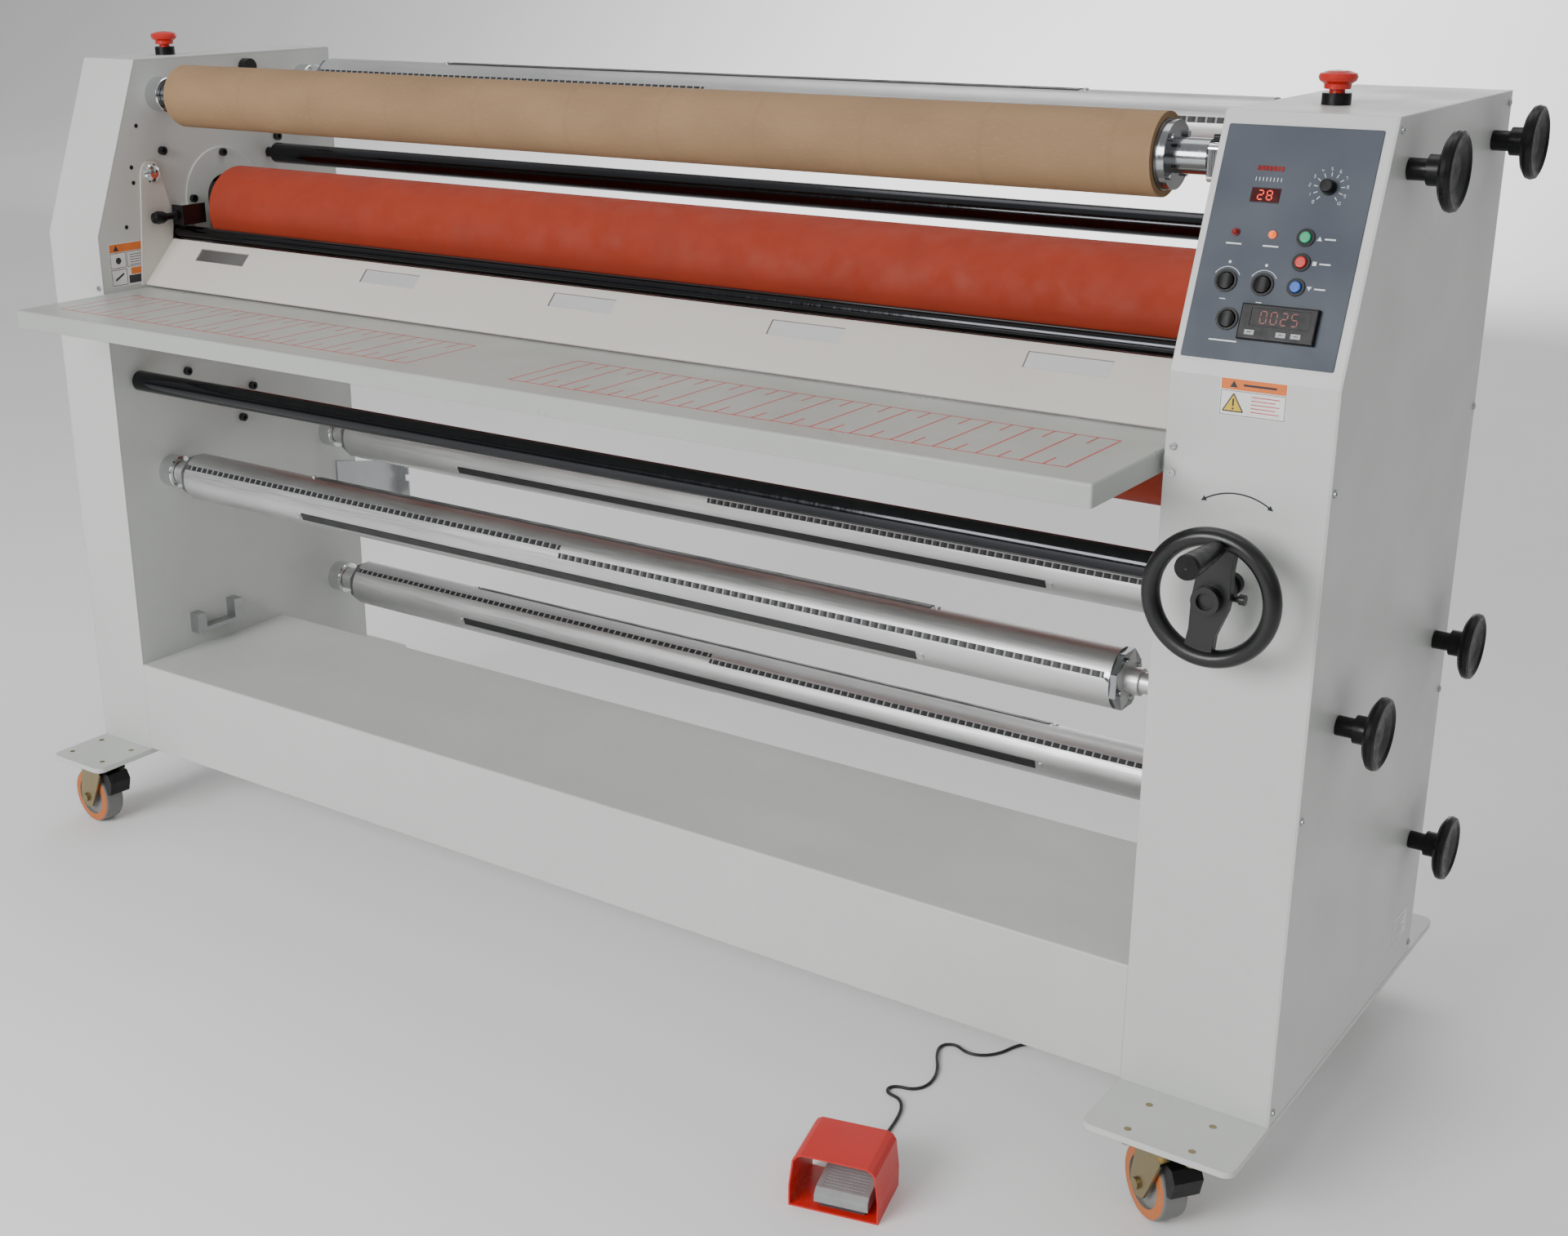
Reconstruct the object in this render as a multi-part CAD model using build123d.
from build123d import *
import math
import os

os.makedirs("parts", exist_ok=True)

# Axes: X runs along the rollers, Y from the operator to the back, Z up.
# Working lengths below are counted from the floor under the middle of the rollers.
# FRAME moves the finished parts so that the origin is under the middle of the whole object.
FRAME = (-49.5, 84.3, 0.0)

# ---------------------------------------------------------------- cabinets and base (mm)
INNER = 850.0            # half the clear width between the cabinets
RIGHT_W = 176.0          # right cabinet: controls, lift drive and gearmotor
LEFT_W = 116.0
Y_FRONT = -247.0         # upright front face of the cabinets
Y_BACK = 247.0
Z_BASE = 124.7           # underside of the cabinets, top of the base plates
Z_KNEE = 952.6           # the front face leans back above this height
Z_TOP = 1203.8
Y_TOP_FRONT = -149.7
SHEET = 2.5
SIDE_T = 12.0            # structural side plates inside the cabinets
BASE_T = 8.0
BASE_Y = 353.0
BEAM_BACK = 56.0
BEAM_TOP = 271.0

# ---------------------------------------------------------------- table and guard
TABLE_TOP = 868.0
TABLE_LIP = 25.0
TABLE_FRONT = -407.0
TABLE_FLANGE_BACK = -180.0
TABLE_NIP = -52.0        # the top sheet runs on towards the rollers
TABLE_HALF = 845.0
GUARD_FOOT = (-170.0, 872.0)
GUARD_HEAD = (-109.0, 934.5)
GUARD_PIVOT = (-140.0, 1036.5)
GUARD_BAR = (-97.0, 944.0)
WINDOW_PITCH = 349.5
PLUNGER = (-834.0, 971.0)

# ---------------------------------------------------------------- rollers and lift
ROLLER_R = 65.0
ROLLER_HALF = 812.0
CORE_R = 55.0
JOURNAL_R = 20.0
LOWER = (0.0, 803.0)
UPPER = (0.0, 972.0)     # fully raised
LIFT = 39.0
SLOT_R = 33.0
SLOT_TOP = 989.0
CROSS_SHAFT = (118.0, 789.0)
PINION_R = 18.0
WHEEL_X = 934.0          # lift handwheel
WHEEL_Y = -307.0
WHEEL_Z = 741.0
WHEEL_R = 64.0           # middle of the rim
GRIP_OUT = 57.0
GRIP_TILT = 8.0          # the web and grip lean this far to the right

# ---------------------------------------------------------------- shafts
SHAFT_R = 36.5
SHAFT_HALF = 787.0
STUB_R = 12.5
SLEEVE_R = 26.0
SLEEVE_OUT = 26.0
TUBE_R = 45.0
TUBE_BORE = 38.0
FIT = 0.06               # radial clearance of a running fit
SUPPLY = (-109.0, 1151.0)
REAR_UPPER = (187.0, 1154.0)
REAR_MIDDLE = (191.0, 569.0)
FRONT_LOWER = (-152.0, 573.0)
REAR_LOWER = (189.0, 306.0)
SHAFTS = (SUPPLY, REAR_UPPER, REAR_MIDDLE, FRONT_LOWER, REAR_LOWER)
IDLER_UPPER = (103.0, 1047.0)
IDLER_LOWER = (-202.0, 728.0)
IDLER_R = 15.8

# ---------------------------------------------------------------- controls, in (across, up the slope)
ROUND_ROCKERS = ((38.1, 95.8), (76.0, 95.2), (47.6, 57.9))
PUSH_BUTTONS = ((109.3, 145.2), (109.9, 120.5), (109.9, 95.6))
LAMPS = ((37.7, 145.4), (75.6, 145.5))
SPEED_KNOB = (121.4, 195.9)
DISPLAY = (59.5, 184.5)
CONTROLLER = (101.0, 57.0)
STOPS = ((925.0, -42.0), (-912.0, -38.0))

# ---------------------------------------------------------------- casters: plate centre, swivel angle
CASTER_R = 44.5
CASTER_W = 33.0
TRAIL = 21.0
CASTERS = {
    "front_right": (937.0, -307.0, -127.0),
    "front_left": (-911.0, -298.5, -95.0),
    "rear_right": (937.0, 300.0, -104.0),
    "rear_left": (-911.0, 300.0, -82.0),
}

# ---------------------------------------------------------------- foot switch and cord
PEDAL_AT = (574.4, -521.6)
PEDAL_TURN = 14.15
PEDAL = (107.0, 82.0, 70.0)
CORD_R = 2.1
CORD_Z = 2.3
GLAND = (888.0, 42.0)
COIL = (790.0, 20.0)
COIL_R = 25.0
COIL_ROWS = 3
COIL_LAYERS = 2

SLOPE_LEN = math.hypot(Y_TOP_FRONT - Y_FRONT, Z_TOP - Z_KNEE)
SLOPE_Y = (Y_TOP_FRONT - Y_FRONT) / SLOPE_LEN
SLOPE_Z = (Z_TOP - Z_KNEE) / SLOPE_LEN
PANEL = Plane(origin=(INNER, Y_FRONT, Z_KNEE), x_dir=(1, 0, 0), z_dir=(0, -SLOPE_Z, SLOPE_Y))


# ---------------------------------------------------------------- shape helpers
def box(x0, x1, y0, y1, z0, z1):
    return Pos((x0 + x1) / 2, (y0 + y1) / 2, (z0 + z1) / 2) * Box(abs(x1 - x0), y1 - y0, z1 - z0)


def cyl_x(x0, x1, yz, r):
    return Pos((x0 + x1) / 2, yz[0], yz[1]) * Rot(0, 90, 0) * Cylinder(r, abs(x1 - x0))


def cyl_y(y0, y1, x, z, r):
    return Pos(x, (y0 + y1) / 2, z) * Rot(90, 0, 0) * Cylinder(r, y1 - y0)


def cyl_z(z0, z1, x, y, r):
    return Pos(x, y, (z0 + z1) / 2) * Cylinder(r, z1 - z0)


def prism_x(points, x0, x1):
    """Extrudes an outline of (y, z) points from x0 to x1."""
    low, high = min(x0, x1), max(x0, x1)
    face = make_face(Plane.YZ.offset(low) * Polyline(*points, close=True))
    return extrude(face, amount=high - low, dir=(1, 0, 0))


def prism_y(points, y0, y1):
    """Extrudes an outline of (x, z) points from y0 to y1."""
    face = make_face(Plane.XZ.offset(-y0) * Polyline(*points, close=True))
    return extrude(face, amount=y1 - y0, dir=(0, 1, 0))


def turned_x(profile, yz):
    """Turns a profile of (x, radius) points about an axis along X through yz."""
    face = make_face(Polyline(*[(x, r, 0) for x, r in profile], close=True))
    return Pos(0, yz[0], yz[1]) * revolve(face, axis=Axis.X)


def turned_z(profile):
    """Turns a profile of (radius, z) points about the Z axis."""
    face = make_face(Plane.XZ * Polyline(*profile, close=True))
    return revolve(face, axis=Axis.Z)


def on_panel(at, shape):
    """Places a shape on the sloped control face, its own Z pointing out of the face."""
    return PANEL * Pos(at[0], at[1], 0) * shape


def fuse(shapes):
    whole = shapes[0]
    for shape in shapes[1:]:
        whole = whole + shape
    return whole


def save(name, *shapes):
    placed = [Pos(*FRAME) * shape for shape in shapes]
    node = placed[0] if len(placed) == 1 else Compound(children=placed)
    node.label = name
    export_step(node, f"parts/{name}.step")


def mirrored(build):
    """The right and left copies of something built for one side."""
    return [build(1), build(-1)]


# ---------------------------------------------------------------- cabinets
def outline(inset):
    """Side profile of a cabinet in (y, z), shrunk all round by inset."""
    knee_drop = inset * (1 - SLOPE_Z) / SLOPE_Y
    lean = inset * (1 - SLOPE_Y) / SLOPE_Z
    return [
        (Y_FRONT + inset, Z_BASE + inset),
        (Y_FRONT + inset, Z_KNEE - knee_drop),
        (Y_TOP_FRONT + lean, Z_TOP - inset),
        (Y_BACK - inset, Z_TOP - inset),
        (Y_BACK - inset, Z_BASE + inset),
    ]


def roller_slot(x0, x1):
    """Upright slot that the upper roller's journal moves in."""
    low = UPPER[1] - LIFT
    ends = cyl_x(x0, x1, (0, SLOT_TOP), SLOT_R) + cyl_x(x0, x1, (0, low), SLOT_R)
    return ends + box(x0, x1, -SLOT_R, SLOT_R, low, SLOT_TOP)


def side_plate(sign):
    x0, x1 = sign * INNER, sign * (INNER + SIDE_T)
    a, b = min(x0, x1) - 1, max(x0, x1) + 1
    cuts = [roller_slot(a, b), cyl_x(a, b, LOWER, JOURNAL_R + 4)]
    for axis in SHAFTS:
        cuts.append(cyl_x(a, b, axis, STUB_R + FIT))
    for axis in (IDLER_UPPER, IDLER_LOWER):
        cuts.append(cyl_x(a, b, axis, 8 + FIT))
    cuts.append(cyl_x(a, b, CROSS_SHAFT, 8 + FIT))
    cuts.append(cyl_x(a, b, GUARD_PIVOT, 6 + FIT))
    plate = prism_x(outline(SHEET), x0, x1)
    for cut in cuts:
        plate = plate - cut
    return plate


def slot_cover(sign):
    """Round plate on the inner wall, open downwards round the roller slot."""
    x0, x1 = sign * INNER, sign * (INNER - 3)
    disc = cyl_x(x0, x1, (0, SLOT_TOP), 76)
    rim = [e for e in disc.edges() if abs(e.center().X - x1) < 0.01]
    disc = chamfer(rim, 0.8)
    return disc - roller_slot(min(x0, x1) - 1, max(x0, x1) + 1)


def guide_rail(sign):
    """Upright rail behind the side plate that a lift block slides along."""
    return box(sign * (INNER + SIDE_T), sign * (INNER + SIDE_T + 28), -52, -42.4, 872, 1040)


def guard_lock(sign):
    """Block on the inner wall that the guard's plunger enters."""
    block = box(sign * INNER, sign * (INNER - 24), -88, -72, 962, 982)
    return block - cyl_y(-90, -70, PLUNGER[0], PLUNGER[1], 4 + FIT)


def cabinet_shell(sign, width):
    """Folded sheet: floor, front, sloped face, top and back."""
    x0, x1 = sign * INNER, sign * (INNER + width - 2)
    middle = prism_x(outline(SHEET), min(x0, x1) - 1, max(x0, x1) + 1)
    return prism_x(outline(0), x0, x1) - middle


def panel_holes():
    """Everything that passes through the sloped face of the right cabinet."""
    cuts = [on_panel(at, Cylinder(10.2, 20)) for at in ROUND_ROCKERS]
    cuts += [on_panel(at, Cylinder(7.2, 20)) for at in PUSH_BUTTONS]
    cuts.append(on_panel(SPEED_KNOB, Cylinder(4.3, 20)))
    cuts.append(on_panel(CONTROLLER, Box(71, 29, 20)))
    cuts.append(on_panel(DISPLAY, Box(29.5, 14.5, 20)))
    return cuts


def stop_hole(at):
    return cyl_z(Z_TOP - 5, Z_TOP + 1, at[0], at[1], 11)


def right_shell():
    shell = cabinet_shell(1, RIGHT_W)
    for cut in panel_holes():
        shell = shell - cut
    shell = shell - cyl_y(Y_FRONT - 1, Y_FRONT + 4, WHEEL_X, WHEEL_Z, 8 + FIT)
    shell = shell - box(904, 956, Y_BACK - 4, Y_BACK + 1, 192, 220)
    shell = shell - cyl_z(Z_BASE - 1, Z_BASE + 4, GLAND[0], GLAND[1], 6)
    return shell - stop_hole(STOPS[0])


def left_shell():
    return cabinet_shell(-1, LEFT_W) - stop_hole(STOPS[1])


def side_cover(sign, width):
    """Flat outer cover with softened edges."""
    x0, x1 = sign * (INNER + width - 2), sign * (INNER + width)
    cover = prism_x(outline(0), x0, x1)
    rim = [e for e in cover.edges() if abs(e.center().X - x1) < 0.01]
    cover = fillet(rim, 1.2)
    if sign > 0:
        for axis in SHAFTS:
            cover = cover - cyl_x(x0 - 1, x1 + 1, axis, 7.6)
    return cover


# ---------------------------------------------------------------- base
def bolt_points(cx, cy):
    return [(cx + dx, cy + dy) for dx in (-37.5, 37.5) for dy in (-28.8, 28.8)]


def base_plate(x0, x1, names):
    plate = Pos((x0 + x1) / 2, 0, Z_BASE - BASE_T) * extrude(
        RectangleRounded(x1 - x0, 2 * BASE_Y, 13), amount=BASE_T)
    for name in names:
        for px, py in bolt_points(*CASTERS[name][:2]):
            plate = plate - cyl_z(110, 130, px, py, 4.2)
    if x0 > 0:
        plate = plate - cyl_z(110, 130, GLAND[0], GLAND[1], 6)
    return plate


def base_beam():
    """Closed box beam that ties the cabinets together."""
    beam = box(-INNER, INNER, Y_FRONT, BEAM_BACK, Z_BASE, BEAM_TOP)
    long_edges = [e for e in beam.edges().filter_by(Axis.X)]
    beam = fillet(long_edges, 3)
    return beam - box(-INNER + 4, INNER - 4, Y_FRONT + 3, BEAM_BACK - 3, Z_BASE + 3, BEAM_TOP - 3)


# ---------------------------------------------------------------- table
def feed_table():
    """Folded tray: flat top, front lip and side flanges, and a tongue towards the nip."""
    bottom = TABLE_TOP - TABLE_LIP
    block = box(-TABLE_HALF, TABLE_HALF, TABLE_FRONT, TABLE_FLANGE_BACK, bottom, TABLE_TOP)
    folds = []
    for edge in block.edges():
        c = edge.center()
        on_top = abs(c.Z - TABLE_TOP) < 0.01 and abs(c.Y - TABLE_FLANGE_BACK) > 1
        on_corner = abs(c.Y - TABLE_FRONT) < 0.01 and abs(abs(c.X) - TABLE_HALF) < 0.01
        if on_top or on_corner:
            folds.append(edge)
    block = fillet(folds, 3)
    hollow = box(-TABLE_HALF + 2.5, TABLE_HALF - 2.5, TABLE_FRONT + 2.5, TABLE_FLANGE_BACK + 1,
                 bottom - 1, TABLE_TOP - 2.5)
    tongue = box(-TABLE_HALF + 4, TABLE_HALF - 4, TABLE_FLANGE_BACK - 2, TABLE_NIP,
                 TABLE_TOP - 2.5, TABLE_TOP)
    lugs = []
    for sign in (-1, 1):
        lugs.append(box(sign * (TABLE_HALF - 2.5), sign * INNER, -240, -190, bottom + 2, TABLE_TOP - 5))
    return fuse([block - hollow, tongue] + lugs)


# ---------------------------------------------------------------- guard
def along_guard(s, out):
    """Point on the sloped guard: s up its face and out from its front, in (y, z)."""
    dy, dz = GUARD_HEAD[0] - GUARD_FOOT[0], GUARD_HEAD[1] - GUARD_FOOT[1]
    length = math.hypot(dy, dz)
    ty, tz = dy / length, dz / length
    return (GUARD_FOOT[0] + ty * s - tz * out, GUARD_FOOT[1] + tz * s + ty * out)


def guard_panel():
    length = math.hypot(GUARD_HEAD[0] - GUARD_FOOT[0], GUARD_HEAD[1] - GUARD_FOOT[1])
    profile = [along_guard(0, 0), along_guard(length, 0), along_guard(length, -2.5),
               along_guard(0, -2.5)]
    panel = prism_x(profile, -846, 846)
    for k in range(-2, 3):
        cx = WINDOW_PITCH * k - 20
        hole = [along_guard(53, 3), along_guard(75, 3), along_guard(75, -6), along_guard(53, -6)]
        panel = panel - prism_x(hole, cx - 52.5, cx + 52.5)
    return panel


def guard_cheek(sign):
    """Thin end plate of the guard: it hangs on the pivot stud and carries the bar."""
    x0, x1 = sign * 846, sign * 849.4
    lobe = cyl_x(x0, x1, GUARD_BAR, 15)
    top = cyl_x(x0, x1, GUARD_PIVOT, 19)
    web = prism_x([(-176, 871), (-160, 1036), (-121, 1034), (-105, 966), (-90, 932), (-112, 926),
                   (-158, 871)], x0, x1)
    plate = lobe + top + web
    return plate - cyl_x(min(x0, x1) - 1, max(x0, x1) + 1, GUARD_BAR, 5 + FIT)


def guard_stud(sign):
    """Pivot stud with a domed head."""
    stud = cyl_x(sign * 844, sign * (INNER + 10), GUARD_PIVOT, 6)
    profile = [(0, 0), (0, 14.5), (2.5, 14.5), (5.5, 12), (8, 7.5), (9, 0)]
    dome = turned_x([(-x, r) for x, r in profile], (0, 0))
    if sign < 0:
        dome = Rot(0, 180, 0) * dome
    return Pos(sign * 846, GUARD_PIVOT[0], GUARD_PIVOT[1]) * dome + stud


def guard_arms():
    """Cheeks with their studs, and the dark angle that holds the plunger."""
    made = [guard_cheek(sign) + guard_stud(sign) for sign in (1, -1)]
    front = box(-846, -822, -107, -104, 956, 986)
    front = front - cyl_y(-110, -100, PLUNGER[0], PLUNGER[1], 4 + FIT)
    inner = box(-825, -822, -107, -62, 956, 986)
    return made + [front + inner]


def guard_plunger():
    """Pull knob with its pin: drawn forward it frees the guard."""
    x, z = PLUNGER
    profile = [(0, 0), (7, 0), (7, 6), (5, 11), (5, 20), (9.5, 30), (10, 38), (8, 45), (0, 47)]
    knob = Pos(x, -107.3, z) * Rot(90, 0, 0) * turned_z(profile)
    return knob + cyl_y(-112, -88.4, x, z, 4)


def guard_bar():
    return cyl_x(-845.7, 845.7, GUARD_BAR, 10.5) + cyl_x(-849, 849, GUARD_BAR, 5)


# ---------------------------------------------------------------- rollers and lift
def roller_sleeve(axis):
    sleeve = cyl_x(-ROLLER_HALF, ROLLER_HALF, axis, ROLLER_R)
    sleeve = fillet([e for e in sleeve.edges() if e.geom_type == GeomType.CIRCLE], 3)
    return sleeve - cyl_x(-ROLLER_HALF - 1, ROLLER_HALF + 1, axis, CORE_R)


def roller_core(axis, left, right):
    """Hollow steel core with a hub and a journal at each end."""
    tube = cyl_x(-ROLLER_HALF, ROLLER_HALF, axis, CORE_R)
    tube = tube - cyl_x(-ROLLER_HALF + 18, ROLLER_HALF - 18, axis, CORE_R - 9)
    ends = []
    for sign, tip in ((-1, left), (1, right)):
        ends.append(cyl_x(sign * (ROLLER_HALF - 18), sign * (ROLLER_HALF + 10), axis, 28))
        ends.append(cyl_x(sign * (ROLLER_HALF - 40), tip, axis, JOURNAL_R))
    return fuse([tube] + ends)


def lift_block(sign):
    """Bearing block of the upper roller with the rack that lifts it."""
    near, far = sign * (INNER + SIDE_T + 0.5), sign * (INNER + SIDE_T + 27)
    block = box(near, far, -42, 42, 930, 1010)
    arm = box(near, far, 42, 90, 930, 975)
    rack = box(near, far, 84, CROSS_SHAFT[0] - PINION_R - 2.6, 760, 975)
    for k in range(24):
        z = 764 + 8 * k
        rack = rack - box(near, far, CROSS_SHAFT[0] - PINION_R - 6, CROSS_SHAFT[0], z, z + 4)
    whole = block + arm + rack
    return whole - cyl_x(min(near, far) - 1, max(near, far) + 1, UPPER, JOURNAL_R + FIT)


def gear(x0, x1, axis, r, teeth, depth):
    """Simplified straight-toothed wheel."""
    disc = cyl_x(x0, x1, axis, r)
    gap = math.pi * r / teeth
    for k in range(teeth):
        cut = box(min(x0, x1) - 1, max(x0, x1) + 1, r - depth, r + 2, -gap / 2, gap / 2)
        disc = disc - Pos(0, axis[0], axis[1]) * Rot(360 * k / teeth, 0, 0) * cut
    return disc


def cross_shaft():
    """Shaft between the cabinets that raises both ends of the roller together."""
    made = [cyl_x(-893, 946, CROSS_SHAFT, 8)]
    for sign in (-1, 1):
        made.append(gear(sign * 864, sign * 887, CROSS_SHAFT, PINION_R + 2, 14, 4))
    made.append(gear(925, 943, CROSS_SHAFT, 34.4, 27, 3.5))
    return fuse(made)


def bearing_house(sign):
    """Flanged bearing of the lower roller, behind the side plate."""
    x0, x1 = sign * (INNER + SIDE_T), sign * (INNER + SIDE_T + 24)
    house = box(x0, x1, -44, 44, 759, 847)
    house = fillet(house.edges().filter_by(Axis.X), 10)
    return house - cyl_x(min(x0, x1) - 1, max(x0, x1) + 1, LOWER, JOURNAL_R + FIT)


def gearmotor():
    """Right-angle gearmotor on the lower roller's right journal."""
    body = box(905, 1012, -46, 46, 760, 848)
    body = fillet(body.edges().filter_by(Axis.Y), 8)
    body = body - cyl_x(904, 962, LOWER, JOURNAL_R + FIT)
    motor = cyl_z(575, 760, 984, 0, 28)
    for k in range(9):
        motor = motor + cyl_z(592 + 15 * k, 597 + 15 * k, 984, 0, 31)
    foot = box(886, 905, -34, 34, 764, 780)
    return body + motor + foot


def grip_at():
    """Axis of the crank grip in (x, z), on the rim end of the upper arm."""
    turn = math.radians(GRIP_TILT)
    return WHEEL_X + GRIP_OUT * math.sin(turn), WHEEL_Z + GRIP_OUT * math.cos(turn)


def handwheel_web():
    """Broad bar across the wheel, waisted below the hub."""
    half = [(16, 58), (17, 30), (21, 9), (21, -8), (14, -38), (15, -58)]
    other = [(-15, -58), (-14, -36), (-18, -4), (-18, 18), (-15, 34), (-16, 58)]
    return Rot(0, GRIP_TILT, 0) * prism_y(half + other, -5, 6)


def handwheel():
    """Handwheel, its shaft through the front face and the worm at the far end."""
    section = Plane.XZ * Pos(WHEEL_R, 0, 0) * Ellipse(9.5, 10.5)
    rim = Rot(90, 0, 0) * revolve(section, axis=Axis.Z)
    hub = cyl_y(-16, 34, 0, 0, 15) - cyl_y(-17, -11, 0, 0, 9)
    bolt = cyl_x(12, 28, (12, 0), 3.5) + cyl_x(26, 32, (12, 0), 5.5)
    wheel = Pos(WHEEL_X, WHEEL_Y, WHEEL_Z) * (rim + handwheel_web() + hub + bolt)
    made = [wheel, cyl_y(WHEEL_Y + 30, 158, WHEEL_X, WHEEL_Z, 8)]
    made.append(cyl_y(Y_FRONT - 9, Y_FRONT - 0.5, WHEEL_X, WHEEL_Z, 12))
    made.append(cyl_y(82, 154, WHEEL_X, WHEEL_Z, 10))
    for k in range(9):
        made.append(cyl_y(84 + 8 * k, 88 + 8 * k, WHEEL_X, WHEEL_Z, 13))
    return fuse(made) - cyl_y(WHEEL_Y - 20, WHEEL_Y + 20, *grip_at(), 3.5 + FIT)


def handwheel_grip():
    x, z = grip_at()
    profile = [(0, 0), (7, 0), (8.5, 3), (9.5, 14), (11, 34), (12.5, 62), (13, 76), (12, 80), (0, 81)]
    grip = Pos(x, WHEEL_Y - 11, z) * Rot(90, 0, 0) * turned_z(profile)
    return grip + cyl_y(WHEEL_Y - 14, WHEEL_Y + 9, x, z, 3.5)


# ---------------------------------------------------------------- winding shafts
def shaft_ends(axis):
    """Stub through both walls, a collar at each end and the brake hub."""
    left = cyl_x(-868, -SHAFT_HALF + 20, axis, STUB_R) + cyl_x(-823, -SHAFT_HALF, axis, 19)
    right = cyl_x(SHAFT_HALF - 20, 880, axis, STUB_R) + cyl_x(SHAFT_HALF, 804, axis, 16)
    return left + right + cyl_x(866, 880, axis, 27)


def end_plate(sign, axis):
    """Eight-sided end plate with its four screws."""
    x0, x1 = sorted((sign * SHAFT_HALF, sign * (SHAFT_HALF - 8)))
    plate = Pos(x0, axis[0], axis[1]) * Rot(0, 90, 0) * Rot(0, 0, 22.5) * extrude(
        RegularPolygon(SHAFT_R, 8), amount=x1 - x0)
    for k in range(4):
        a = math.radians(90 * k + 20)
        at = (axis[0] + 26 * math.cos(a), axis[1] + 26 * math.sin(a))
        plate = plate + cyl_x(sign * SHAFT_HALF, sign * (SHAFT_HALF + 3), at, 4)
    return plate


def gripping_shaft(axis, strips, keys):
    """Aluminium shaft: narrow toothed strips and broader rubber keys, as (x0, x1, angle)."""
    body = cyl_x(-SHAFT_HALF + 8, SHAFT_HALF - 8, axis, SHAFT_R)
    body = body - cyl_x(-SHAFT_HALF + 20, SHAFT_HALF - 20, axis, SHAFT_R - 11)
    body = body + end_plate(1, axis) + end_plate(-1, axis) + shaft_ends(axis)
    inlays = []
    for x0, x1, angle in strips:
        turn = Pos(0, axis[0], axis[1]) * Rot(angle, 0, 0)
        body = body - turn * box(x0, x1, SHAFT_R - 4, SHAFT_R + 3, -3.6, 3.6)
        inlays.append(turn * box(x0 + 0.2, x1 - 0.2, SHAFT_R - 4, SHAFT_R + 0.2, -3.4, 3.4))
    for x0, x1, angle in keys:
        turn = Pos(0, axis[0], axis[1]) * Rot(angle, 0, 0)
        body = body - turn * box(x0, x1, SHAFT_R - 6, SHAFT_R + 3, -6, 6)
        inlays.append(turn * box(x0 + 0.2, x1 - 0.2, SHAFT_R - 6, SHAFT_R + 0.8, -5.8, 5.8))
        for end in (x0 - 7, x1 + 7):
            inlays.append(turn * (Pos(end, SHAFT_R + 0.6, 0) * Rot(90, 0, 0) * Cylinder(4, 2.4)))
    return [body] + inlays


def strips_round(first, step):
    """Toothed strips in three rows; each row moves round by step at the middle."""
    made = []
    for k in range(3):
        made.append((-772, -23, first + 120 * k))
        made.append((-22.5, 772, first + step + 120 * k))
    return made


def keys_round(first):
    """Rubber keys between the rows of strips, short of both ends."""
    return [(-520, 530, first + 120 * k) for k in range(3)]


def supply_shaft():
    """Round bar with a core chuck at each end."""
    made = [cyl_x(-868, 880, SUPPLY, STUB_R), cyl_x(-770, 770, SUPPLY, 20),
            cyl_x(866, 880, SUPPLY, 27)]
    for sign in (-1, 1):
        made.append(cyl_x(sign * 690, sign * 774, SUPPLY, TUBE_BORE - 0.1))
        made.append(cyl_x(sign * 774, sign * 784, SUPPLY, 36.5))
        made.append(cyl_x(sign * 784, sign * 823, SUPPLY, 19))
        for k in range(4):
            a = math.radians(45 + 90 * k)
            at = (SUPPLY[0] + 28 * math.cos(a), SUPPLY[1] + 28 * math.sin(a))
            made.append(cyl_x(sign * 783, sign * 788, at, 4.2))
    return fuse(made)


def card_tube():
    tube = cyl_x(-784, 772, SUPPLY, TUBE_R)
    return tube - cyl_x(-785, 773, SUPPLY, TUBE_BORE)


def tension_knob(axis):
    """Dished brake knob on the outer cover, its screw reaching the shaft's brake hub."""
    x = INNER + RIGHT_W
    made = [cyl_x(884, x + 30, axis, 7), cyl_x(880.4, 886, axis, 25), cyl_x(x + 0.5, x + 20, axis, 11),
            cyl_x(x + 20, x + 38, axis, 15.5)]
    dish = [(34, 0), (34, 17), (37, 33), (41, 39), (45, 40), (49, 38.8), (50.5, 35.5), (48, 31),
            (44.5, 18), (43, 0)]
    made.append(turned_x([(x + a, r) for a, r in dish], axis))
    return fuse(made)


def left_sleeve(axis):
    """Bright sleeve on the left inner wall that carries one end of a shaft."""
    ring = cyl_x(-INNER, -INNER + SLEEVE_OUT, axis, SLEEVE_R)
    ring = chamfer([e for e in ring.edges() if e.center().X > -INNER + SLEEVE_OUT - 0.1], 1.5)
    return ring - cyl_x(-INNER - 1, -INNER + SLEEVE_OUT + 1, axis, STUB_R + FIT)


def right_bush(axis):
    bush = cyl_x(INNER - 5, INNER, axis, 18)
    return bush - cyl_x(INNER - 6, INNER + 1, axis, STUB_R + FIT)


def supply_saddle():
    """Open saddle that the right end of the supply shaft is lifted out of, with its latch."""
    y, z = SUPPLY
    saddle = box(826, INNER, y - 22, y + 22, z - 24, z + 16)
    saddle = fillet(saddle.edges().filter_by(Axis.X), 6)
    saddle = saddle - cyl_x(825, INNER + 1, SUPPLY, STUB_R + FIT)
    latch = box(829, 847, y - 16, y + 28, z + 16, z + 25)
    return [saddle, fillet(latch.edges().filter_by(Axis.X), 3)]


def shaft_bearings():
    """Sleeves, bushes and saddle on the inner walls, and the lower roller's bearings behind them."""
    made = [left_sleeve(axis) for axis in SHAFTS]
    made += [right_bush(axis) for axis in SHAFTS[1:]]
    return made + supply_saddle() + mirrored(bearing_house)


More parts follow.
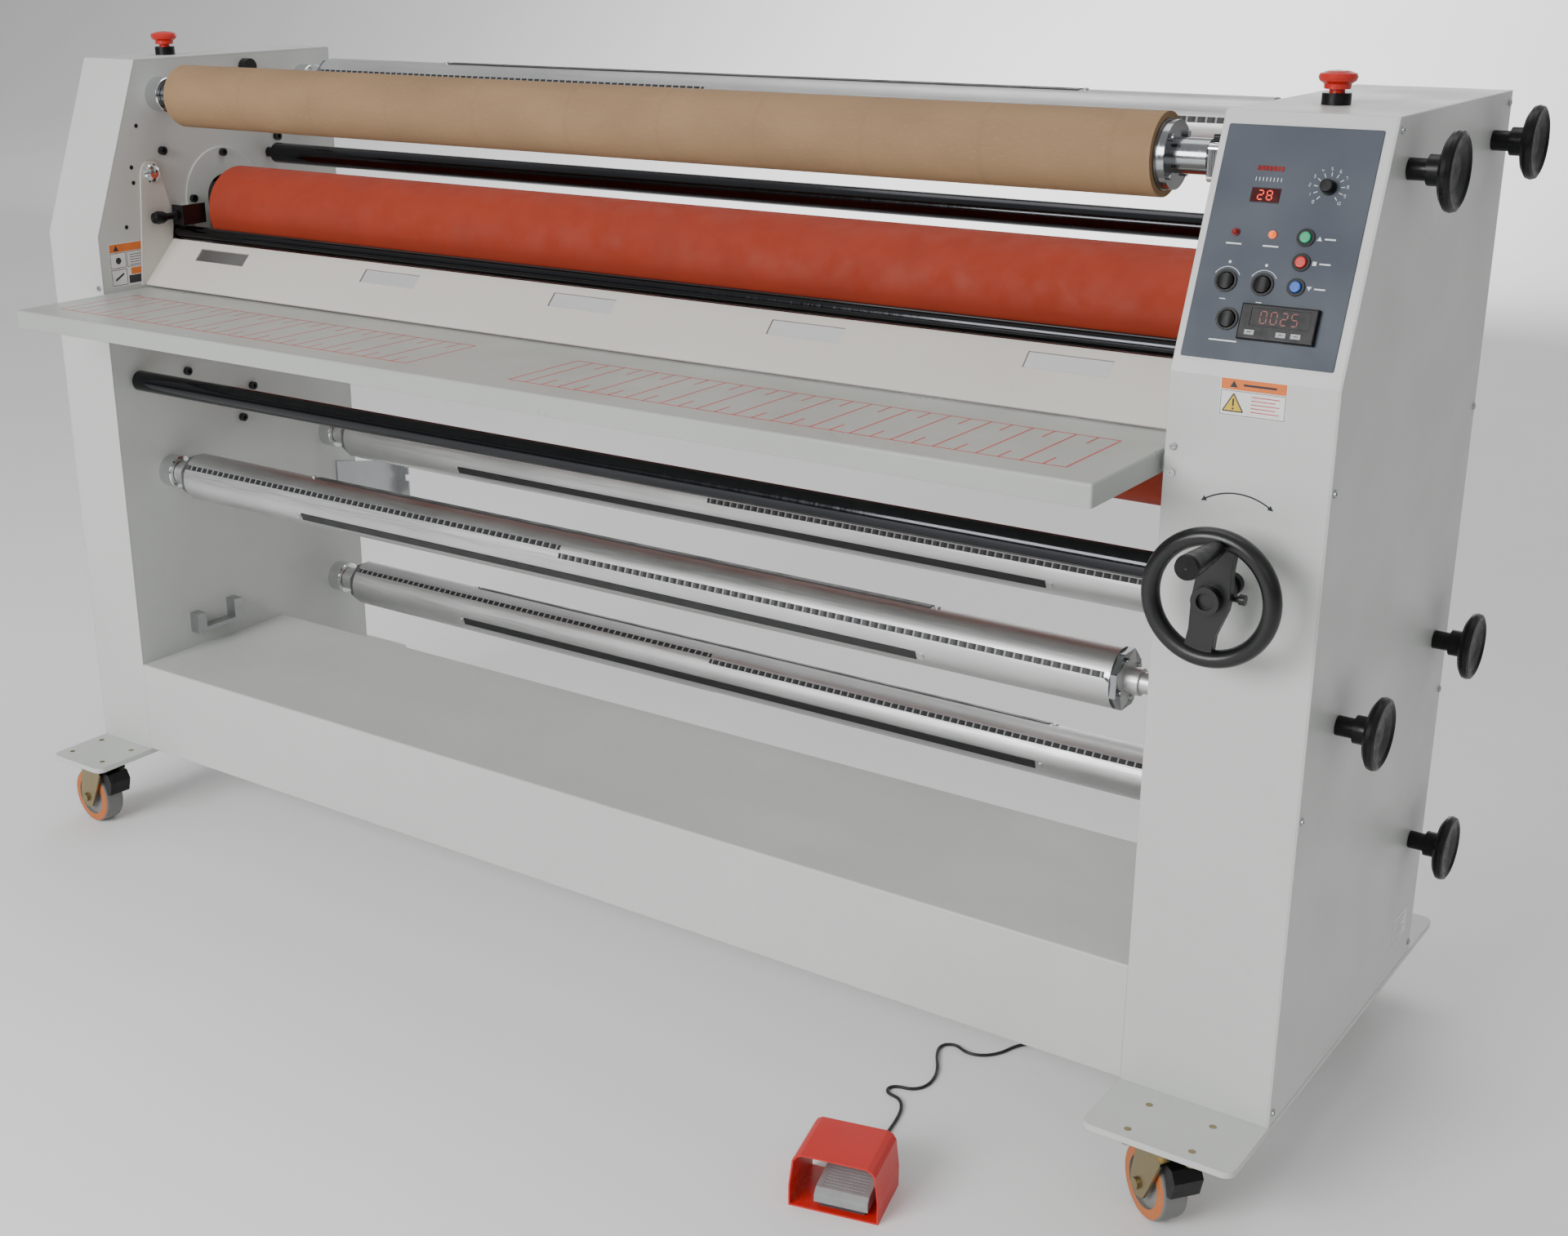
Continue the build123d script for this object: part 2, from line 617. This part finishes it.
def idler(axis, half):
    return cyl_x(-half, half, axis, IDLER_R) + cyl_x(-INNER - 10, INNER + 10, axis, 8)


# ---------------------------------------------------------------- controls
def control_panel():
    plate = on_panel((85.6, 135.7), extrude(RectangleRounded(157, 238.5, 2), amount=0.8))
    for cut in panel_holes():
        plate = plate - cut
    return plate


def bezel(at, outer, inner):
    ring = Pos(0, 0, 1.6) * Cylinder(outer, 1.6)
    barrel = Pos(0, 0, -6) * Cylinder(inner + 1.1, 16)
    return on_panel(at, ring + barrel - Cylinder(inner, 40))


def lamp(at):
    return on_panel(at, Pos(0, 0, 1.9) * Cylinder(3.8, 2.2) + Pos(0, 0, 3.8) * Sphere(3))


def temperature_controller():
    front = Pos(0, 0, 3.8) * Box(78, 36, 6)
    front = fillet(front.edges().group_by(Axis.Z)[-1], 1.5)
    front = front - Pos(2, 5, 6.8) * Box(60, 18, 1.2)
    keys = [Pos(u, -11, 6.9) * Box(10, 5, 1.2) for u in (-26, 6, 21)]
    rear = Pos(0, 0, -18) * Box(70.6, 28.6, 38)
    return on_panel(CONTROLLER, fuse([front, rear] + keys))


def stop_collar(at):
    x, y = at
    collar = cyl_z(Z_TOP, Z_TOP + 12, x, y, 15) + cyl_z(Z_TOP - 26, Z_TOP, x, y, 11)
    return collar - cyl_z(Z_TOP - 30, Z_TOP + 20, x, y, 8 + FIT)


def cord_gland():
    """Cable gland under the right cabinet."""
    x, y = GLAND
    low = Z_BASE - BASE_T
    nut = Pos(x, y, low - 7) * extrude(RegularPolygon(9, 6), amount=7)
    nozzle = Pos(x, y, low - 18) * turned_z([(0, 0), (4.2, 0), (6.5, 11), (0, 11)])
    thread = cyl_z(low, Z_BASE + 6, x, y, 6)
    return nut + nozzle + thread - cyl_z(low - 18.5, low - 6, x, y, CORD_R)


def mains_inlet():
    shape = box(905, 955, Y_BACK - 18, Y_BACK + 2, 193, 219)
    flange = box(897, 963, Y_BACK, Y_BACK + 3, 188, 224)
    return fillet(flange.edges().filter_by(Axis.Y), 5) + shape - box(915, 945, 236, 252, 196, 216)


def electrical_fittings():
    """Bezels, lamps, display window, temperature controller, stop collars, gland and inlet."""
    made = [bezel(at, 11.4, 9.0) for at in ROUND_ROCKERS]
    made += [bezel(at, 9.0, 6.0) for at in PUSH_BUTTONS]
    made += [lamp(at) for at in LAMPS]
    made.append(on_panel(DISPLAY, Pos(0, 0, -1.2) * Box(29.2, 14.2, 4.8)))
    made.append(temperature_controller())
    made += [stop_collar(at) for at in STOPS]
    return made + [cord_gland(), mains_inlet()]


def stop_button(at):
    """Mushroom head on its stem."""
    z = Z_TOP + 16
    profile = [(0, z), (13.5, z), (14, z + 5), (18.5, z + 8), (20, z + 12), (18.5, z + 15.5),
               (11, z + 18), (0, z + 19)]
    return Pos(at[0], at[1], 0) * (turned_z(profile) + cyl_z(Z_TOP - 24, z + 1, 0, 0, 8))


def push_button(at):
    cap = Pos(0, 0, -2.5) * Cylinder(5.7, 15)
    return on_panel(at, fillet(cap.edges().group_by(Axis.Z)[-1], 1.2))


def rocker(at):
    """Round rocker with a hollowed top, on a cross pin."""
    body = Pos(0, 0, 1.4) * Cylinder(8.0, 6.0)
    body = body - Pos(0, 0, 23.4) * Rot(90, 0, 0) * Cylinder(20.5, 40)
    leg = Pos(0, 0, -5) * Box(6, 6, 8)
    return on_panel(at, body + leg)


def speed_knob():
    skirt = Pos(0, 0, 2.8) * Cylinder(7.5, 2.6)
    cap = Pos(0, 0, 7.8) * Cylinder(6.4, 9)
    cap = fillet(cap.edges().group_by(Axis.Z)[-1], 1.2)
    return on_panel(SPEED_KNOB, skirt + cap + Pos(0, 0, -5) * Cylinder(3.2, 16))


# ---------------------------------------------------------------- brackets and fasteners
def rest_cradle(sign):
    """U-shaped rest for a spare shaft, low on an inner wall."""
    x0, x1 = sign * INNER, sign * (INNER - 20)
    floor = box(x0, x1, -144, -50, 298, 305)
    front = box(x0, x1, -144, -127, 298, 330)
    rear = box(x0, x1, -67, -50, 298, 335)
    return floor + front + rear


def rear_bracket(sign):
    """Sheet arm reaching out behind a cabinet, its end folded inwards and notched."""
    wall = sign * INNER
    arm = prism_x([(200, 452), (200, 512), (352, 481), (352, 418)], wall, wall - 3 * sign)
    flange = prism_x([(349, 419), (349, 481.5), (352, 481), (352, 418)], wall, wall - 26 * sign)
    flange = flange - box(wall - 18 * sign, wall - 27 * sign, 348, 353, 446, 458)
    flange = flange - cyl_y(348, 353, wall - 20 * sign, 472, 2.5)
    return arm + flange


def socket_screw(x, at, r, height):
    """Cap screw standing on a face at x; a negative height points to -X."""
    head = cyl_x(x, x + height, at, r)
    return head - cyl_x(x + 0.5 * height, x + 1.1 * height, at, r * 0.5)


def inner_screws(sign):
    face = sign * INNER
    made = [socket_screw(face - 3 * sign, (2, SLOT_TOP + 67), 6, -6 * sign),
            socket_screw(face - 3 * sign, (-64, SLOT_TOP + 2), 6, -6 * sign)]
    for at in ((-114, 1068), (120, 1071), (-105, 725), (26, 678), (0, 630)):
        made.append(socket_screw(face, at, 6.5, -7 * sign))
    made.append(cyl_x(face, face - 9 * sign, (-4, 664), 13))
    made.append(cyl_x(face, face - 14 * sign, (65, 1194 - 12), 13))
    for at in ((-173, 1048), (-172, 1025), (-193, 961), (-157, 1108)):
        made.append(cyl_x(face, face - 0.5 * sign, at, 3.2))
    return made


def cover_screws(sign, width):
    face = sign * (INNER + width)
    spots = [(-239, 141), (-239, 493), (-239, 848), (-143, 1191), (236, 1191), (239, 845),
             (239, 490), (239, 141)]
    return [socket_screw(face, at, 4, 2.2 * sign) for at in spots]


def front_screws(sign):
    made = []
    for z in (847, 875):
        head = cyl_y(Y_FRONT - 2.2, Y_FRONT, sign * (INNER + 9), z, 4)
        made.append(head - cyl_y(Y_FRONT - 3, Y_FRONT - 1.2, sign * (INNER + 9), z, 2))
    return made


def fasteners():
    made = []
    for sign, width in ((1, RIGHT_W), (-1, LEFT_W)):
        made += inner_screws(sign) + cover_screws(sign, width) + front_screws(sign)
    return made


# ---------------------------------------------------------------- casters
def caster_plate(cx, cy):
    """Top plate with the swivel race, bolted through the base plate."""
    top = Z_BASE - BASE_T
    plate = Pos(cx, cy, top - 4) * extrude(RectangleRounded(95, 76, 8), amount=4)
    plate = plate + cyl_z(top - 12, top - 4, cx, cy, 24)
    for px, py in bolt_points(cx, cy):
        plate = plate + cyl_z(top - 9, Z_BASE, px, py, 4)
        plate = plate + cyl_z(top - 9, top - 4, px, py, 6.5)
    return plate - cyl_z(top - 20, top - 5, cx, cy, 6 + FIT)


def caster_fork(cx, cy, turn):
    """Swivel fork with its axle and brake housing; it trails towards its own -Y."""
    made = [cyl_z(96, 104.3, 0, 0, 26), cyl_z(96, 110, 0, 0, 6), box(-24, 24, -26, 24, 94, 98)]
    for sign in (-1, 1):
        leg = [(-26, 98), (24, 98), (2, 50), (-8, 32), (-TRAIL, 28), (-34, 34), (-36, 52)]
        made.append(prism_x(leg, sign * 20.5, sign * 24))
        made.append(cyl_x(sign * 20.5, sign * 28, (-TRAIL, CASTER_R), 7))
    made.append(cyl_x(-25, 25, (-TRAIL, CASTER_R), 4))
    made.append(prism_x([(20, 97), (38, 97), (46, 84), (40, 62), (32, 60), (27, 76)], -18, 18))
    return Pos(cx, cy, 0) * Rot(0, 0, turn) * fuse(made)


def caster_wheel(cx, cy, turn):
    axis = (-TRAIL, CASTER_R)
    half = CASTER_W / 2
    wheel = cyl_x(-half, half, axis, CASTER_R)
    wheel = fillet([e for e in wheel.edges() if e.geom_type == GeomType.CIRCLE], 5)
    for sign in (-1, 1):
        dish = cyl_x(sign * (half - 5), sign * (half + 1), axis, 31)
        wheel = wheel - (dish - cyl_x(sign * (half - 6), sign * (half + 2), axis, 13))
    wheel = wheel + cyl_x(-20, 20, axis, 9)
    wheel = wheel - cyl_x(-30, 30, axis, 4 + FIT)
    return Pos(cx, cy, 0) * Rot(0, 0, turn) * wheel


# ---------------------------------------------------------------- foot switch
def at_pedal(shape):
    return Pos(PEDAL_AT[0], PEDAL_AT[1], 0) * Rot(0, 0, PEDAL_TURN) * shape


def guard_section(inset):
    w, _, h = PEDAL
    return [(inset, inset), (inset, 27), (4 + inset, 61 - inset / 2), (8 + inset, 67 - inset),
            (14 + inset / 2, h - inset), (w - 14 - inset / 2, h - inset),
            (w - 8 - inset, 67 - inset), (w - 4 - inset, 61 - inset / 2), (w - inset, 27),
            (w - inset, inset)]


def foot_guard():
    """Folded steel tunnel over the foot switch, open at front and back."""
    depth = PEDAL[1]
    return at_pedal(prism_y(guard_section(0), 0, depth) - prism_y(guard_section(2), -1, depth + 1))


SWITCH_X = (30.0, 92.0)
SWITCH_HINGE = (64.0, 12.5)


def foot_switch_base():
    """Floor of the switch with the hinge ears, the pin and the cord nipple."""
    x0, x1 = SWITCH_X
    made = [box(x0 + 3.5, x1 - 3.5, 10, 72, 2, 6.5)]
    y, z = SWITCH_HINGE
    for x in (x0 + 3.5, x1 - 6.5):
        made.append(box(x, x + 3, y - 4, y + 4, 2, z + 3.5))
    made.append(cyl_x(x0 + 3.5, x1 - 3.5, SWITCH_HINGE, 2))
    made.append(box(58, 72, 69, 73, 2, 12))
    made.append(cyl_y(73, 80, 65, 8, 4))
    return at_pedal(fuse(made) - cyl_y(76, 81, 65, 8, CORD_R))


def foot_treadle():
    """Ribbed cap over the switch, hinged near its rear edge."""
    x0, x1 = SWITCH_X
    side = [(5, 9), (5, 19), (12, 25), (62, 31), (71, 29), (76, 22), (76, 14), (50, 9)]
    inside = [(7.5, 8), (7.5, 18), (13, 22.5), (61, 28), (69.5, 26.5), (73.5, 21), (73.5, 8)]
    cap = prism_x(side, x0 - 1, x1 + 1)
    cap = fillet([e for e in cap.edges() if e.center().Z > 18.5], 1.2)
    cap = cap - prism_x(inside, x0 + 1.5, x1 - 1.5)
    for k in range(9):
        y = 16 + 5 * k
        cap = cap - box(x0 + 6, x1 - 6, y, y + 2.2, 24.6 + (y - 12) * 0.12, 34)
    y, z = SWITCH_HINGE
    for x in (x0 + 9, x1 - 15):
        cap = cap + box(x, x + 6, y - 4, y + 4, z - 3.9, 27)
    return at_pedal(cap - cyl_x(x0 + 8, x1 - 8, SWITCH_HINGE, 2 + FIT))


# ---------------------------------------------------------------- cord
# Gland to coil, then coil to foot switch: hand-laid points on the floor.
CORD_IN = [
    (888, 42, 106), (888, 42, 78), (887, 41.5, 50), (880, 37, 26), (862, 22, 11),
    (838, 2, 7.0), (815, -7.6, 6.5), (790, -9.2, 6.5),
]
CORD_OUT = [
    (790, -9.2, CORD_Z), (768, -10.5, CORD_Z), (742, -16, CORD_Z), (714, -28, CORD_Z),
    (682, -34, CORD_Z), (652, -44, CORD_Z), (631, -68, CORD_Z), (623, -98, CORD_Z),
    (606, -117, CORD_Z), (586, -122, CORD_Z), (565, -111, CORD_Z), (549, -124, CORD_Z),
    (557, -148, CORD_Z), (574, -174, CORD_Z), (583, -199, CORD_Z), (583, -222, CORD_Z),
    (572, -237, CORD_Z), (552, -241, CORD_Z), (545, -251, CORD_Z), (551, -261.5, CORD_Z),
    (570, -263, CORD_Z), (583, -280, CORD_Z), (590.5, -306, CORD_Z), (595, -334, CORD_Z),
    (600.5, -361, 2.6), (607, -386, 4.2), (613.6, -410, 7.2), (618.8, -431.8, 8),
]


def bend_radius(a, b, c):
    """As wide as the shorter of the two runs allows."""
    before, after = b - a, c - b
    half = math.radians(before.get_angle(after)) / 2
    return 0.45 * min(before.length, after.length) / math.tan(half)


def cord_path(route):
    """Straight runs joined by tangent arcs."""
    points = [Vector(*p) for p in route]
    edges = []
    radii = []
    start = points[0]
    for a, b, c in zip(points, points[1:], points[2:]):
        before, after = (b - a).normalized(), (c - b).normalized()
        radius = bend_radius(a, b, c)
        cut = radius * math.tan(math.radians(before.get_angle(after)) / 2)
        edges.append(Line(start, b - before * cut))
        edges.append(TangentArc(b - before * cut, b + after * cut, tangent=before))
        start = b + after * cut
        radii.append(round(radius, 1))
    edges.append(Line(start, points[-1]))
    print("bend radii", radii)
    return Wire(edges)


def cord_tube(route):
    path = cord_path(route)
    tube = sweep(Plane(origin=path @ 0, z_dir=path % 0) * Circle(CORD_R), path=path)
    print("cord length", round(path.length, 1), "volume", round(tube.volume),
          "section x length", round(math.pi * CORD_R ** 2 * path.length))
    return tube


def cord_coil():
    """Outer shape of the spare cord, wound flat behind the beam."""
    half = COIL_ROWS * CORD_R
    height = 2 * CORD_R * COIL_LAYERS
    low = CORD_Z - CORD_R
    ring = cyl_z(low, low + height, *COIL, COIL_R + half)
    return ring - cyl_z(low - 1, low + height + 1, *COIL, COIL_R - half)


# ---------------------------------------------------------------- write every node
def save_structure():
    save("side_plates", *mirrored(side_plate), *mirrored(guide_rail), *mirrored(slot_cover),
         guard_lock(-1))
    save("cabinet_shells", right_shell(), left_shell())
    save("side_covers", side_cover(1, RIGHT_W), side_cover(-1, LEFT_W))
    save("base_frame", base_plate(INNER, INNER + RIGHT_W, ("front_right", "rear_right")),
         base_plate(-INNER - LEFT_W, -INNER, ("front_left", "rear_left")), base_beam())
    save("feed_table", feed_table())
    save("shaft_bearings", *shaft_bearings())
    save("shaft_rests", *mirrored(rest_cradle), *mirrored(rear_bracket))
    save("fasteners", *fasteners())


def save_rolling_parts():
    save("upper_roller_sleeve", roller_sleeve(UPPER))
    save("upper_roller_core", roller_core(UPPER, -888, 888))
    save("lower_roller_sleeve", roller_sleeve(LOWER))
    save("lower_roller_core", roller_core(LOWER, -884, 960))
    save("lift_blocks", *mirrored(lift_block))
    save("lift_cross_shaft", cross_shaft())
    save("gearmotor", gearmotor())
    save("handwheel", handwheel())
    save("handwheel_grip", handwheel_grip())
    save("supply_shaft", supply_shaft())
    save("card_tube", card_tube())
    save("shaft_rear_upper", *gripping_shaft(REAR_UPPER, strips_round(150, 14), keys_round(215)))
    save("shaft_rear_middle", *gripping_shaft(REAR_MIDDLE, strips_round(138, 20), keys_round(203)))
    save("shaft_front_lower", *gripping_shaft(FRONT_LOWER, strips_round(143, 17), keys_round(204)))
    save("shaft_rear_lower", *gripping_shaft(REAR_LOWER, strips_round(128, 14), keys_round(196)))
    save("idler_rear_upper", idler(IDLER_UPPER, 831))
    save("idler_front_lower", idler(IDLER_LOWER, 842))
    names = ("supply", "rear_upper", "rear_middle", "front_lower", "rear_lower")
    for name, axis in zip(names, SHAFTS):
        save(f"tension_knob_{name}", tension_knob(axis))


def save_guard():
    save("guard_panel", guard_panel())
    save("guard_arms", *guard_arms())
    save("guard_plunger", guard_plunger())
    save("guard_bar", guard_bar())


def save_controls():
    save("control_panel", control_panel())
    save("electrical_fittings", *electrical_fittings())
    save("stop_button_right", stop_button(STOPS[0]))
    save("stop_button_left", stop_button(STOPS[1]))
    for name, at in zip(("green", "red", "blue"), PUSH_BUTTONS):
        save(f"button_{name}", push_button(at))
    for name, at in zip(("power", "mode", "heat"), ROUND_ROCKERS):
        save(f"rocker_{name}", rocker(at))
    save("speed_knob", speed_knob())


def save_casters():
    save("caster_plates", *[caster_plate(x, y) for x, y, _ in CASTERS.values()])
    for name, place in CASTERS.items():
        save(f"caster_fork_{name}", caster_fork(*place))
        save(f"caster_wheel_{name}", caster_wheel(*place))


def save_foot_switch():
    save("foot_guard", foot_guard())
    save("foot_switch_base", foot_switch_base())
    save("foot_treadle", foot_treadle())
    save("cord_to_coil", cord_tube(CORD_IN))
    save("cord_coil", cord_coil())
    save("cord_to_switch", cord_tube(CORD_OUT))


save_structure()
save_rolling_parts()
save_guard()
save_controls()
save_casters()
save_foot_switch()
